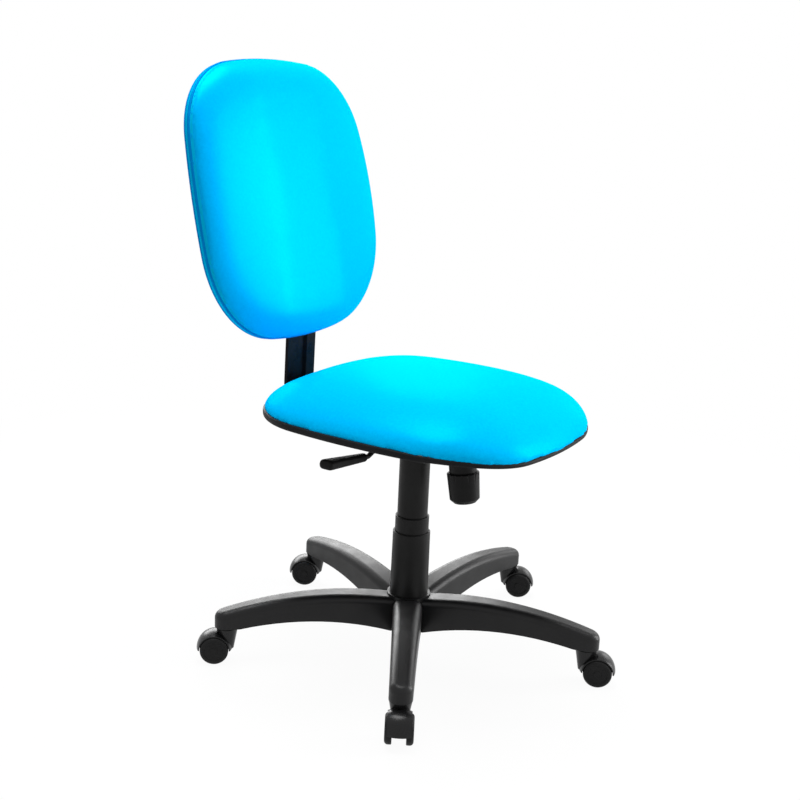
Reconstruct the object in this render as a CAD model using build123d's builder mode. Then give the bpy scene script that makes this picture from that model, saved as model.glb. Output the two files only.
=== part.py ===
from build123d import *
import os
from math import cos, pi, radians, sin, sqrt

os.makedirs("parts", exist_ok=True)

# Swivel office chair. Millimetres, +Z up, origin on the floor under the column, the sitter faces -Y.

# Fits
running_play = 0.05  # radial play of a turning or sliding pin in its bore
seat_play = 0.02  # radial room of a pin, cone or sleeve that sits tight
cover_play = 0.4  # radial room between the telescoping covers
soft_room = 0.3  # room between upholstery and what it lies against
skin_room = 0.05  # room under a trim or lining

# Five-arm base
arm_count = 5
first_arm_angle = -148.5
stem_circle = 304.0
arm_end = 324.0
arm_width_hub = 50.0
arm_width_end = 36.0
arm_depth_middle = 47.3
arm_top_radius = 635.0
arm_middle_radius = 155.0
arm_over_hood = 8.2
arch_start = 286.0
arch_middle = 190.0
arch_rise = 6.6
hub_bottom = 40.0
hub_over_arms = 38.0
hub_radius = 36.0
arm_edge_round = 12.0
arm_wall = 5.0
arm_roof = 6.5
rib_thickness = 3.0
rib_cells = 5
cell_start = 48.0
cell_end = 282.0

# Casters
wheel_diameter = 46.0
wheel_width = 10.8
wheel_inner_face = 10.6
wheel_edge_round = 5.5
wheel_inner_chamfer = 1.0
wheel_rim = 7.0
wheel_recess = 1.0
wheel_cap = 2.5
caster_trail = 20.0
trail_angles = [-147.8, -63.5, -57.8, 122.2, 127.9]
hood_room = 0.9
hood_half_width = 18.0
hood_rim_wall = 1.6
hood_crest_wall = 4.9
web_half = 6.0
web_radius = 14.0
neck_radius = 17.5
neck_foot_radius = 11.0
neck_gap = 1.5
stem_radius = 5.5
stem_rise = 26.0
stem_sink = 16.0
stem_chamfer = 2.0
stem_collar = 2.5
axle_radius = 3.0
axle_boss_radius = 7.0
axle_end_room = 1.0

# Column
tube_radius = 23.0
tube_wall = 2.0
tube_top = 225.0
tube_bottom = 36.0
taper_shrink = 0.8
plate_bottom = 40.0
plate_thickness = 3.0
bush_length = 75.0
bush_flange = 2.0
bush_flange_inset = 0.2
cylinder_radius = 14.0
cylinder_wall = 2.0
cylinder_bottom = 135.0
cylinder_top = 374.0
cylinder_end = 12.0
cylinder_taper = 36.0
cylinder_taper_shrink = 0.7
rod_radius = 5.0
rod_top = 210.0
spigot_radius = 4.0
spigot_bottom = 33.0
piston_length = 15.0
washer_thickness = 2.0
spigot_room = 1.0
bearing_radius = 12.0
ball_radius = 2.0
ball_circle = 8.3
ball_count = 8
ball_play = 0.1
cage_thickness = 2.0
cage_inset = 0.5
buffer_length = 11.0
buffer_radius = 11.0
clip_thickness = 1.5
clip_gap = 0.5
clip_mouth = 5.8
clip_radius = 8.0
groove_depth = 0.6
release_radius = 4.0
release_stand = 6.5
release_head_radius = 6.0
release_head = 4.0
release_length = 24.0

# Column covers
cover_lower_top = 207.0
cover_lower_wall = 2.6
cover_lower_foot = 0.8
cover_chamfer = 1.0
cover_middle_top = 234.0
cover_middle_bottom = 138.0
cover_middle_wall = 2.4
cover_upper_bottom = 195.0
cover_upper_wall = 1.6

# Tilt mechanism
sheet = 3.0
arm_half_width = 42.0
mechanism_bottom = 340.0
nose_bottom = 369.0
nose_front = -112.0
nose_bend = -66.0
body_front = -42.0
body_rear = 40.0
side_front_top = 386.0
side_top = 389.0
side_rear_top = 374.0
socket_radius = 20.0
socket_top = 376.0
tilt_y = -30.0
tilt_z = 378.0
tilt_pin_radius = 5.0
tilt_pin_half = 52.0
plate_top = 406.0
plate_half_width = 75.0
plate_front = -105.0
plate_rear = 55.0
plate_corner = 12.0
plate_window = (-54.0, 16.0, -12.0, 36.0)
flange_gap = 3.5
flange_front = -45.0
flange_rear = -14.0
flange_bottom = 366.0
knob_y = -90.7
knob_z = 328.0
knob_lean = 7.9
knob_radius = 26.0
knob_foot_radius = 24.0
knob_height = 50.0
knob_foot_chamfer = 6.0
knob_neck_radius = 22.0
knob_neck_height = 14.0
knob_shoulder = 2.0
knob_cavity_radius = 19.5
knob_floor = 10.0
flute_count = 14
flute_radius = 3.0
flute_depth = 0.9
bolt_radius = 5.0
spring_radius = 14.5
spring_wire = 2.0
spring_turns = 6
spring_seat_height = 35.5
spring_washer_outer = 19.0
spring_washer_inner = 12.0
bolt_slot = (-99.0, -76.0)
bolt_slot_half = 6.5

# Height lever
lever_y = 20.0
lever_pivot_x = -48.0
lever_pivot_z = 377.0
lever_slope = 21.0
lever_rod_radius = 4.0
lever_bend_radius = 12.0
lever_rod_inner = -36.0
lever_rod_outer = -136.0
lever_boss_radius = 6.5
lever_boss_half = 5.0
lever_pin_radius = 3.0
lever_finger = 4.0
lever_finger_gap = 0.5
lever_finger_reach = 8.0
lever_finger_overlap = 2.0
lug_gap = 1.0
lug_thickness = 3.0
lug_half_height = 5.5
grip_inner = (-116.0, 355.5)
grip_tip = (-219.0, 367.5)
grip_neck = 11.5
grip_width = 23.0
grip_thickness = 13.0
grip_edge_round = 4.5
grip_end_round = 4.0

# Seat
seat_half_width = 221.0
seat_front = -253.0
seat_rear = 217.0
seat_side_y = -5.0
seat_side_sag = 23.5
seat_end_sag = 25.4
seat_corner_front = 148.0
seat_corner_rear = 139.0
board_thickness = 9.0
board_bend_y = -150.0
board_bend_radius = 420.0
board_bend_reach = 24.0
trim_thickness = 3.0
trim_lip = 0.6
lining_thickness = 1.0
lining_share = 0.975
lining_room = 2.0
seat_crown = 56.0
cushion_seam = 0.968
cushion_swell = 0.99
cushion_squareness = 0.42

# Backrest
back_y = 226.0
back_z = 505.5
back_lean = 12.96
back_height = 450.0
back_half_width = 222.0
back_side_v = 201.0
back_top_corner = (192.0, 428.0)
back_bottom_corner = (202.0, 30.0)
back_corner_top = 134.0
back_corner_bottom = 156.0
lumbar_radius = 2341.0
back_board_rear = 2.0
back_board_thickness = 10.0
back_trim_rear = -4.0
back_crown = 30.0
back_rear_crown = 22.0
lumbar_drop = 6.0

# Back blade
blade_width = 74.0
blade_thickness = 6.0
blade_rib_width = 30.0
blade_rib_depth = 5.0
blade_rib_slope = 60.0
blade_rib_draw = 2.0
blade_front = 75.0
blade_bend_y = 242.0
blade_bend_radius = 18.0
blade_knee_radius = 60.0
blade_upper_start = 14.0
blade_upper_end = 175.0
slot_room = 1.5
foot_slot = 60.0

# Screws and T-nuts
screw_radius = 4.0
screw_room = 0.4
screw_head_radius = 6.5
screw_head = 5.5
screw_thread_gap = 0.05
screw_short = 2.0
nut_radius = 5.0
nut_flange_radius = 9.0
nut_flange = 1.5
plate_screws = [(-62.0, -88.0), (62.0, -88.0), (-62.0, 42.0), (62.0, 42.0)]
blade_screw_x = 26.0
blade_screw_y = (100.0, 160.0)
back_screw_v = (55.0, 130.0)
arm_nut_x = 165.0
arm_nut_y = (-40.0, 40.0)

# Sizes that follow from those above
wheel_radius = wheel_diameter / 2
axle_height = wheel_radius
wheel_outer_face = wheel_inner_face + wheel_width
hood_inner = wheel_radius + hood_room
hood_rim = hood_inner + hood_rim_wall
hood_crest = hood_inner + hood_crest_wall

# The base stands on the casters, so its heights follow the wheels
arm_end_bottom = wheel_diameter + hood_room + hood_crest_wall + arm_over_hood
arm_top_middle = arm_end_bottom + arm_depth_middle
arch_middle_height = arm_end_bottom + arch_rise
hub_top = arm_end_bottom + hub_over_arms
neck_top = arm_end_bottom - neck_gap
board_bottom = plate_top
board_top = board_bottom + board_thickness
plate_under = plate_top - sheet
cover_upper_inner = tube_radius + cover_play
cover_upper_outer = cover_upper_inner + cover_upper_wall
cover_middle_inner = cover_upper_outer + cover_play
cover_middle_outer = cover_middle_inner + cover_middle_wall
cover_lower_inner = cover_middle_outer + cover_play
cover_lower_outer = cover_lower_inner + cover_lower_wall


def write(piece, name):
    """Label a finished piece and write it under its own name."""
    piece.part.label = name
    export_step(piece.part, f"parts/{name}.step")


def ring(inner, outer, low, high):
    """Draw the half section of a plain ring about Z, to be revolved."""
    with Locations((inner, low)):
        Rectangle(outer - inner, high - low, align=(Align.MIN, Align.MIN))


# Five-arm base: one nylon moulding, hollow and ribbed under its arms
def arm_top(radius):
    """Height of an arm's top line, an arc that is highest halfway out."""
    reach = radius - arm_middle_radius
    return arm_top_middle - arm_top_radius + sqrt(arm_top_radius**2 - reach**2)


def arm_width(radius):
    """Width of an arm, which narrows evenly from the hub to its round end."""
    return arm_width_hub - (arm_width_hub - arm_width_end) * min(radius / end_start, 1)


end_start = arm_end - arm_width_end / 2

with BuildPart() as arm:
    # From the side: an arched top line, and an arched underside up to the flat under the stem
    with BuildSketch(Plane.XZ):
        with BuildLine():
            ThreePointArc((0, arm_top(0)), (arm_middle_radius, arm_top_middle), (arm_end, arm_top(arm_end)))
            Polyline((arm_end, arm_top(arm_end)), (arm_end, arm_end_bottom), (arch_start, arm_end_bottom))
            ThreePointArc(
                (arch_start, arm_end_bottom), (arch_middle, arch_middle_height), (hub_radius, hub_bottom)
            )
            Polyline((hub_radius, hub_bottom), (0, hub_bottom), (0, arm_top(0)))
        make_face()
    extrude(amount=arm_width_hub, both=True)
    # From above: narrowing outwards to a round end
    with BuildSketch(Plane.XY):
        with BuildLine():
            Line((0, -arm_width_hub / 2), (end_start, -arm_width_end / 2))
            ThreePointArc((end_start, -arm_width_end / 2), (arm_end, 0), (end_start, arm_width_end / 2))
            Polyline((end_start, arm_width_end / 2), (0, arm_width_hub / 2), (0, -arm_width_hub / 2))
        make_face()
    extrude(amount=2 * arm_top_middle, mode=Mode.INTERSECT)
    top_edges = faces().sort_by(Axis.Z)[-1].edges()
    fillet(top_edges.sort_by(Axis.X)[1:], arm_edge_round)
    with Locations((stem_circle, 0, arm_end_bottom)):
        Cylinder(
            stem_radius + running_play,
            stem_rise + 1,
            align=(Align.CENTER, Align.CENTER, Align.MIN),
            mode=Mode.SUBTRACT,
        )
    cell_length = (cell_end - cell_start) / rib_cells
    for cell in range(rib_cells):
        cell_middle = cell_start + (cell + 0.5) * cell_length
        cell_outer = cell_start + (cell + 1) * cell_length
        roof = min(arm_top(cell_outer), arm_top(cell_outer - cell_length))
        with Locations((cell_middle, 0, 0)):
            Box(
                cell_length - rib_thickness,
                arm_width(cell_outer) - 2 * arm_wall,
                roof - arm_roof,
                align=(Align.CENTER, Align.CENTER, Align.MIN),
                mode=Mode.SUBTRACT,
            )

with BuildPart() as star_base:
    with BuildSketch(Plane.XY.offset(hub_bottom)):
        Circle(hub_radius)
    extrude(amount=hub_top - hub_bottom)
    with PolarLocations(0, arm_count, start_angle=first_arm_angle):
        add(arm.part)
    with BuildSketch(Plane.XZ):
        with BuildLine():
            Polyline(
                (0, hub_bottom - 1),
                (tube_radius - taper_shrink + seat_play, hub_bottom - 1),
                (tube_radius - taper_shrink + seat_play, hub_bottom),
                (tube_radius + seat_play, hub_top),
                (tube_radius + seat_play, arm_top_middle + 1),
                (0, arm_top_middle + 1),
                close=True,
            )
        make_face()
    revolve(axis=Axis.Z, mode=Mode.SUBTRACT)
    # Flat land around the column where the lower cover stands
    with BuildSketch(Plane.XY.offset(hub_top)):
        Circle(cover_lower_outer + cover_lower_foot + soft_room)
    extrude(amount=arm_top_middle, mode=Mode.SUBTRACT)
write(star_base, "star_base")

# Caster: a hood over two wheels on one axle, turning on a steel stem that stands in the arm's socket
with BuildPart() as hood_shell:
    with BuildSketch(Plane.XY):
        with BuildLine():
            ThreePointArc((hood_rim, -hood_half_width), (hood_crest, 0), (hood_rim, hood_half_width))
            Polyline(
                (hood_rim, hood_half_width),
                (hood_inner, hood_half_width),
                (hood_inner, -hood_half_width),
                (hood_rim, -hood_half_width),
            )
        make_face()
    revolve(axis=Axis.Y)
    Box(
        3 * hood_crest,
        3 * hood_half_width,
        2 * hood_crest,
        align=(Align.CENTER, Align.CENTER, Align.MAX),
        mode=Mode.SUBTRACT,
    )

with BuildPart() as caster_hood:
    # Web between the wheels, round under the axle and filling the hood above it
    with BuildSketch(Plane.XZ):
        with Locations((caster_trail, axle_height)):
            Circle(hood_inner + hood_rim_wall / 2)
            Rectangle(3 * hood_inner, 2 * hood_inner, align=(Align.CENTER, Align.MAX), mode=Mode.SUBTRACT)
            Circle(web_radius)
    extrude(amount=web_half, both=True)
    with Locations((caster_trail, 0, axle_height)):
        add(hood_shell.part)
    # Neck that spreads to the width of the arm's end
    with Locations((0, 0, axle_height)):
        Cone(
            neck_foot_radius,
            neck_radius,
            neck_top - axle_height,
            align=(Align.CENTER, Align.CENTER, Align.MIN),
        )
    with BuildSketch(Plane.XZ):
        with Locations((caster_trail, axle_height)):
            Circle(axle_boss_radius)
    extrude(amount=wheel_inner_face - soft_room, both=True)
    with BuildSketch(Plane.XZ):
        with Locations((caster_trail, axle_height)):
            Circle(axle_radius + seat_play)
    extrude(amount=wheel_outer_face, both=True, mode=Mode.SUBTRACT)
    # The wheels' own room, cut clear of neck and web
    for side in (-1, 1):
        with BuildSketch(Plane.XZ.offset(side * (wheel_inner_face - soft_room))):
            with Locations((caster_trail, axle_height)):
                Circle(hood_inner)
        extrude(amount=side * wheel_width * 2, mode=Mode.SUBTRACT)
    with BuildSketch(Plane.XY.offset(neck_top - stem_sink)):
        Circle(stem_radius + seat_play)
    extrude(amount=2 * stem_sink, mode=Mode.SUBTRACT)

with BuildPart() as caster_stem:
    with BuildSketch(Plane.XZ):
        stem_top = arm_end_bottom + stem_rise
        with BuildLine():
            Polyline(
                (0, neck_top - stem_sink),
                (stem_radius, neck_top - stem_sink),
                (stem_radius, stem_top - stem_chamfer),
                (stem_radius - stem_chamfer, stem_top),
                (0, stem_top),
                close=True,
            )
        make_face()
    revolve(axis=Axis.Z)
    # Collar that the arm's weight stands on
    with BuildSketch(Plane.XY.offset(neck_top)):
        Circle(stem_radius + stem_collar)
    extrude(amount=neck_gap - soft_room)

with BuildPart() as caster_axle:
    with BuildSketch(Plane.XZ):
        with Locations((caster_trail, axle_height)):
            Circle(axle_radius)
    extrude(amount=wheel_outer_face - wheel_cap - axle_end_room, both=True)

with BuildPart() as wheel:
    with BuildSketch(Plane.XY):
        with BuildLine():
            Polyline(
                (0, wheel_inner_face),
                (wheel_radius - wheel_inner_chamfer, wheel_inner_face),
                (wheel_radius, wheel_inner_face + wheel_inner_chamfer),
                (wheel_radius, wheel_outer_face),
                (wheel_radius - wheel_rim, wheel_outer_face),
                (wheel_radius - wheel_rim - wheel_recess, wheel_outer_face - wheel_recess),
                (axle_boss_radius, wheel_outer_face - wheel_recess),
                (axle_boss_radius - wheel_recess, wheel_outer_face),
                (0, wheel_outer_face),
                close=True,
            )
        make_face()
        fillet(vertices().sort_by(Axis.X)[-2:].sort_by(Axis.Y)[-1], wheel_edge_round)
    revolve(axis=Axis.Y)
    with BuildSketch(Plane.XZ.offset(-wheel_inner_face)):
        Circle(axle_radius + running_play)
    extrude(amount=-(wheel_width - wheel_cap), mode=Mode.SUBTRACT)

with BuildPart() as wheel_left:
    with Locations((caster_trail, 0, axle_height)):
        add(wheel.part)

with BuildPart() as wheel_right:
    with Locations(Location((caster_trail, 0, axle_height), (0, 0, 180))):
        add(wheel.part)

caster_pieces = {
    "caster_hood": caster_hood,
    "caster_stem": caster_stem,
    "caster_axle": caster_axle,
    "wheel_left": wheel_left,
    "wheel_right": wheel_right,
}
for number, trail_angle in enumerate(trail_angles, start=1):
    arm_angle = radians(first_arm_angle + (number - 1) * 360 / arm_count)
    stem_point = (stem_circle * cos(arm_angle), stem_circle * sin(arm_angle), 0)
    for name, piece in caster_pieces.items():
        with BuildPart() as placed:
            with Locations(Location(stem_point, (0, 0, trail_angle))):
                add(piece.part)
        write(placed, f"{name}_{number}")

# Column: steel tube wedged in the hub, with the guide bush and the thrust bearing inside it
with BuildPart() as column_tube:
    with BuildSketch(Plane.XZ):
        with BuildLine():
            Polyline(
                (tube_radius - tube_wall - taper_shrink, tube_bottom),
                (tube_radius - taper_shrink, tube_bottom),
                (tube_radius - taper_shrink, hub_bottom),
                (tube_radius, hub_top),
                (tube_radius, tube_top),
                (tube_radius - tube_wall, tube_top),
                (tube_radius - tube_wall, hub_top),
                (tube_radius - tube_wall - taper_shrink, plate_bottom + plate_thickness),
                (spigot_radius + spigot_room, plate_bottom + plate_thickness),
                (spigot_radius + spigot_room, plate_bottom),
                (tube_radius - tube_wall - taper_shrink, plate_bottom),
                close=True,
            )
        make_face()
    revolve(axis=Axis.Z)
write(column_tube, "column_tube")

with BuildPart() as column_bush:
    with BuildSketch(Plane.XZ):
        ring(
            cylinder_radius + running_play,
            tube_radius - tube_wall - seat_play,
            tube_top - bush_length,
            tube_top,
        )
        ring(
            cylinder_radius + running_play,
            tube_radius - bush_flange_inset,
            tube_top,
            tube_top + bush_flange,
        )
    revolve(axis=Axis.Z)
write(column_bush, "column_bush")

lower_washer_top = plate_bottom + plate_thickness + washer_thickness
upper_washer_bottom = lower_washer_top + 2 * ball_radius + ball_play
upper_washer_top = upper_washer_bottom + washer_thickness
washer_bore = spigot_radius + soft_room

with BuildPart() as thrust_washer_lower:
    with BuildSketch(Plane.XZ):
        ring(washer_bore, bearing_radius, plate_bottom + plate_thickness, lower_washer_top)
    revolve(axis=Axis.Z)
write(thrust_washer_lower, "thrust_washer_lower")

with BuildPart() as thrust_ball_cage:
    cage_bottom = lower_washer_top + ball_radius - cage_thickness / 2
    with BuildSketch(Plane.XY.offset(cage_bottom)):
        Circle(bearing_radius - cage_inset)
        Circle(spigot_radius + spigot_room, mode=Mode.SUBTRACT)
        with PolarLocations(ball_circle, ball_count):
            Circle(ball_radius + ball_play, mode=Mode.SUBTRACT)
    extrude(amount=cage_thickness)
    with Locations((0, 0, lower_washer_top + ball_radius + ball_play / 2)):
        with PolarLocations(ball_circle, ball_count):
            Sphere(ball_radius)
write(thrust_ball_cage, "thrust_ball_cage")

with BuildPart() as thrust_washer_upper:
    with BuildSketch(Plane.XZ):
        ring(spigot_radius + seat_play, bearing_radius, upper_washer_bottom, upper_washer_top)
    revolve(axis=Axis.Z)
write(thrust_washer_upper, "thrust_washer_upper")

# Piston rod: stands on the bearing and carries the piston inside the gas cylinder
clip_top = plate_bottom - clip_gap
clip_bottom = clip_top - clip_thickness
with BuildPart() as piston_rod:
    with BuildSketch(Plane.XZ):
        groove = spigot_radius - groove_depth
        with BuildLine():
            Polyline(
                (0, spigot_bottom),
                (spigot_radius, spigot_bottom),
                (spigot_radius, clip_bottom),
                (groove, clip_bottom),
                (groove, clip_top),
                (spigot_radius, clip_top),
                (spigot_radius, upper_washer_top),
                (rod_radius, upper_washer_top),
                (rod_radius, rod_top - piston_length),
                (cylinder_radius - cylinder_wall - running_play, rod_top - piston_length),
                (cylinder_radius - cylinder_wall - running_play, rod_top),
                (0, rod_top),
                close=True,
            )
        make_face()
    revolve(axis=Axis.Z)
write(piston_rod, "piston_rod")

with BuildPart() as rod_clip:
    with BuildSketch(Plane.XY.offset(clip_bottom)):
        Circle(clip_radius)
        Circle(spigot_radius - groove_depth + seat_play, mode=Mode.SUBTRACT)
        with Locations((clip_radius, 0)):
            Rectangle(2 * clip_radius, clip_mouth, mode=Mode.SUBTRACT)
    extrude(amount=clip_thickness)
write(rod_clip, "rod_clip")

with BuildPart() as rod_buffer:
    with BuildSketch(Plane.XZ):
        ring(rod_radius + running_play, buffer_radius, upper_washer_top, upper_washer_top + buffer_length)
    revolve(axis=Axis.Z)
write(rod_buffer, "rod_buffer")

# Gas cylinder: slides up the rod in the guide bush, its coned top wedged in the hub arm
with BuildPart() as gas_cylinder:
    with BuildSketch(Plane.XZ):
        with BuildLine():
            Polyline(
                (rod_radius + running_play, cylinder_bottom),
                (cylinder_radius, cylinder_bottom),
                (cylinder_radius, cylinder_top - cylinder_taper),
                (cylinder_radius - cylinder_taper_shrink, cylinder_top),
                (release_radius + running_play, cylinder_top),
                (release_radius + running_play, cylinder_top - cylinder_end),
                (cylinder_radius - cylinder_wall, cylinder_top - cylinder_end),
                (cylinder_radius - cylinder_wall, cylinder_bottom + cylinder_end),
                (rod_radius + running_play, cylinder_bottom + cylinder_end),
                close=True,
            )
        make_face()
    revolve(axis=Axis.Z)
write(gas_cylinder, "gas_cylinder")

with BuildPart() as release_pin:
    release_top = cylinder_top + release_stand
    with BuildSketch(Plane.XY.offset(release_top - release_length)):
        Circle(release_radius)
    extrude(amount=release_length)
    head_top = cylinder_top - cylinder_end - soft_room
    with BuildSketch(Plane.XY.offset(head_top - release_head)):
        Circle(release_head_radius)
    extrude(amount=release_head)
write(release_pin, "release_pin")

# Column covers: three plastic sleeves that slide into each other as the seat sinks
with BuildPart() as cover_lower:
    with BuildSketch(Plane.XZ):
        with BuildLine():
            Polyline(
                (cover_lower_inner, hub_top),
                (cover_lower_outer + cover_lower_foot, hub_top),
                (cover_lower_outer, cover_lower_top - cover_chamfer),
                (cover_lower_outer - cover_chamfer, cover_lower_top),
                (cover_lower_inner, cover_lower_top),
                close=True,
            )
        make_face()
    revolve(axis=Axis.Z)
write(cover_lower, "cover_lower")

with BuildPart() as cover_middle:
    with BuildSketch(Plane.XZ):
        ring(cover_middle_inner, cover_middle_outer, cover_middle_bottom, cover_middle_top)
        chamfer(vertices().group_by(Axis.X)[-1].sort_by(Axis.Y)[-1], cover_chamfer)
    revolve(axis=Axis.Z)
write(cover_middle, "cover_middle")

with BuildPart() as cover_upper:
    with BuildSketch(Plane.XZ):
        ring(cover_upper_inner, cover_upper_outer, cover_upper_bottom, mechanism_bottom)
    revolve(axis=Axis.Z)
write(cover_upper, "cover_upper")

# Hub arm: pressed steel trough with the cone socket that sits on the gas cylinder
lever_boss_room = lever_boss_half + lug_gap
with BuildPart() as hub_arm:
    with BuildSketch(Plane.YZ):
        with BuildLine():
            Polyline(
                (nose_front, nose_bottom),
                (nose_front, side_front_top),
                (tilt_y - 2 * tilt_pin_radius, side_top),
                (tilt_y + 4 * tilt_pin_radius, side_top),
                (body_rear, side_rear_top),
                (body_rear, mechanism_bottom),
                (body_front, mechanism_bottom),
                (nose_bend, nose_bottom),
                close=True,
            )
        make_face()
    extrude(amount=arm_half_width, both=True)
    with BuildSketch(Plane.YZ):
        with BuildLine():
            Polyline(
                (nose_front + sheet, nose_bottom + sheet),
                (nose_front + sheet, plate_top),
                (body_rear - sheet, plate_top),
                (body_rear - sheet, mechanism_bottom + sheet),
                (body_front, mechanism_bottom + sheet),
                (nose_bend, nose_bottom + sheet),
                close=True,
            )
        make_face()
    extrude(amount=arm_half_width - sheet, both=True, mode=Mode.SUBTRACT)
    with BuildSketch(Plane.XY.offset(mechanism_bottom)):
        Circle(socket_radius)
    extrude(amount=socket_top - mechanism_bottom)
    cone_start = cylinder_top - cylinder_taper
    cone_slope = cylinder_taper_shrink / cylinder_taper
    cone_radius = cylinder_radius + seat_play
    with BuildSketch(Plane.XZ):
        with BuildLine():
            Polyline(
                (0, mechanism_bottom),
                (cone_radius - (mechanism_bottom - cone_start) * cone_slope, mechanism_bottom),
                (cone_radius - (socket_top - cone_start) * cone_slope, socket_top),
                (0, socket_top),
                close=True,
            )
        make_face()
    revolve(axis=Axis.Z, mode=Mode.SUBTRACT)
    with BuildSketch(Plane.YZ):
        with Locations((tilt_y, tilt_z)):
            Circle(tilt_pin_radius + seat_play)
    extrude(amount=arm_half_width, both=True, mode=Mode.SUBTRACT)
    # Slot that the tension bolt swings in
    with BuildSketch(Plane.XY.offset(nose_bottom)):
        with Locations((0, (bolt_slot[0] + bolt_slot[1]) / 2)):
            Rectangle(2 * bolt_slot_half, bolt_slot[1] - bolt_slot[0])
    extrude(amount=sheet, mode=Mode.SUBTRACT)
    # Notch for the lever and two lugs that hold its pin
    with BuildSketch(Plane.YZ.offset(-arm_half_width)):
        with Locations((lever_y, lever_pivot_z - 1.5 * lever_boss_radius)):
            Rectangle(2 * lever_boss_room, plate_top, align=(Align.CENTER, Align.MIN))
    extrude(amount=sheet, mode=Mode.SUBTRACT)
    for side in (-1, 1):
        with BuildSketch(Plane.XZ.offset(-lever_y - side * (lever_boss_room + lug_thickness / 2))):
            lug_reach = lever_boss_radius
            with Locations((-arm_half_width, lever_pivot_z)):
                Rectangle(
                    -arm_half_width - lever_pivot_x + lug_reach,
                    2 * lug_half_height,
                    align=(Align.MAX, Align.CENTER),
                )
        extrude(amount=lug_thickness / 2, both=True)
    with BuildSketch(Plane.XZ.offset(-lever_y)):
        with Locations((lever_pivot_x, lever_pivot_z)):
            Circle(lever_pin_radius + seat_play)
    extrude(amount=lever_boss_room + lug_thickness, both=True, mode=Mode.SUBTRACT)
write(hub_arm, "hub_arm")

with BuildPart() as tilt_pin:
    with BuildSketch(Plane.YZ):
        with Locations((tilt_y, tilt_z)):
            Circle(tilt_pin_radius)
    extrude(amount=tilt_pin_half, both=True)
write(tilt_pin, "tilt_pin")

# Seat plate: carries the seat and rocks on the tilt pin
with BuildPart() as seat_plate:
    with BuildSketch(Plane.XY.offset(plate_under)):
        with Locations((0, (plate_front + plate_rear) / 2)):
            RectangleRounded(2 * plate_half_width, plate_rear - plate_front, plate_corner)
        window_left, window_right, window_front, window_rear = plate_window
        with Locations(((window_left + window_right) / 2, (window_front + window_rear) / 2)):
            Rectangle(window_right - window_left, window_rear - window_front, mode=Mode.SUBTRACT)
        with Locations(*plate_screws):
            Circle(screw_radius + screw_room, mode=Mode.SUBTRACT)
    extrude(amount=sheet)
    for side in (-1, 1):
        flange_middle = side * (arm_half_width + flange_gap + sheet / 2)
        with BuildSketch(Plane.YZ.offset(flange_middle)):
            with Locations((flange_front, flange_bottom)):
                Rectangle(
                    flange_rear - flange_front,
                    plate_under - flange_bottom,
                    align=(Align.MIN, Align.MIN),
                )
            with Locations((tilt_y, tilt_z)):
                Circle(tilt_pin_radius + running_play, mode=Mode.SUBTRACT)
        extrude(amount=sheet / 2, both=True)
write(seat_plate, "seat_plate")

# Tension knob, bolt and spring: the rising front of the seat draws the knob up against the spring
knob_plane = Plane(
    origin=(0, knob_y, knob_z),
    x_dir=(1, 0, 0),
    z_dir=(0, sin(radians(knob_lean)), cos(radians(knob_lean))),
)
knob_side = Plane(origin=knob_plane.origin, x_dir=knob_plane.x_dir, z_dir=-knob_plane.y_dir)

with BuildPart() as tension_bolt:
    with BuildSketch(knob_plane.offset(1 - knob_height)):
        Circle(bolt_radius)
    extrude(amount=2 * knob_height + plate_top - knob_z)
    split(bisect_by=Plane.XY.offset(plate_under), keep=Keep.BOTTOM)
write(tension_bolt, "tension_bolt")

with BuildPart() as tension_knob:
    with BuildSketch(knob_side):
        with BuildLine():
            Polyline(
                (bolt_radius + running_play, -knob_height),
                (knob_foot_radius - knob_foot_chamfer, -knob_height),
                (knob_foot_radius, knob_foot_chamfer - knob_height),
                (knob_radius, -knob_shoulder),
                (knob_radius - knob_shoulder, 0),
                (knob_neck_radius, 0),
                (knob_neck_radius, knob_neck_height),
                (knob_cavity_radius, knob_neck_height),
                (knob_cavity_radius, knob_floor - knob_height),
                (bolt_radius + running_play, knob_floor - knob_height),
                close=True,
            )
        make_face()
    revolve(axis=Axis(knob_plane.origin, knob_plane.z_dir))
    with BuildSketch(knob_plane):
        with PolarLocations(knob_radius + flute_radius - flute_depth, flute_count):
            Circle(flute_radius)
    extrude(amount=-knob_height, mode=Mode.SUBTRACT)
write(tension_knob, "tension_knob")

with BuildPart() as spring_washer:
    with BuildSketch(knob_plane.offset(spring_seat_height)):
        Circle(spring_washer_outer)
        Circle(spring_washer_inner, mode=Mode.SUBTRACT)
    extrude(amount=sheet)
write(spring_washer, "spring_washer")


def spring_point(turn):
    """Point of the spring's centre line after so many turns."""
    height = spring_low + (spring_high - spring_low) * turn / spring_turns
    angle = 2 * pi * turn
    return Vector(spring_radius * cos(angle), spring_radius * sin(angle), height)


def spring_heading(turn):
    """Direction of the spring's centre line after so many turns."""
    rise = (spring_high - spring_low) / spring_turns / (2 * pi)
    angle = 2 * pi * turn
    return Vector(-spring_radius * sin(angle), spring_radius * cos(angle), rise).normalized()


def biarc_joint(start, start_heading, end, end_heading):
    """Point where two tangent arcs that join two headings meet."""
    step = end - start
    both = start_heading + end_heading
    bend = 2 * (1 - start_heading.dot(end_heading))
    reach = (sqrt(step.dot(both) ** 2 + bend * step.dot(step)) - step.dot(both)) / bend
    return (start + start_heading * reach + end - end_heading * reach) * 0.5


spring_low = knob_floor - knob_height + spring_wire + soft_room
spring_high = spring_seat_height - spring_wire - soft_room
quarters = 4 * spring_turns
spring_samples = [spring_point(step / 24) for step in range(24 * spring_turns + 1)]
spring_gap = min(
    (spring_samples[later] - spring_samples[first]).length - 2 * spring_wire
    for first in range(len(spring_samples))
    for later in range(first + 12, len(spring_samples))
)
print(f"tension spring: least gap between turns {spring_gap:.2f} mm")

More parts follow.
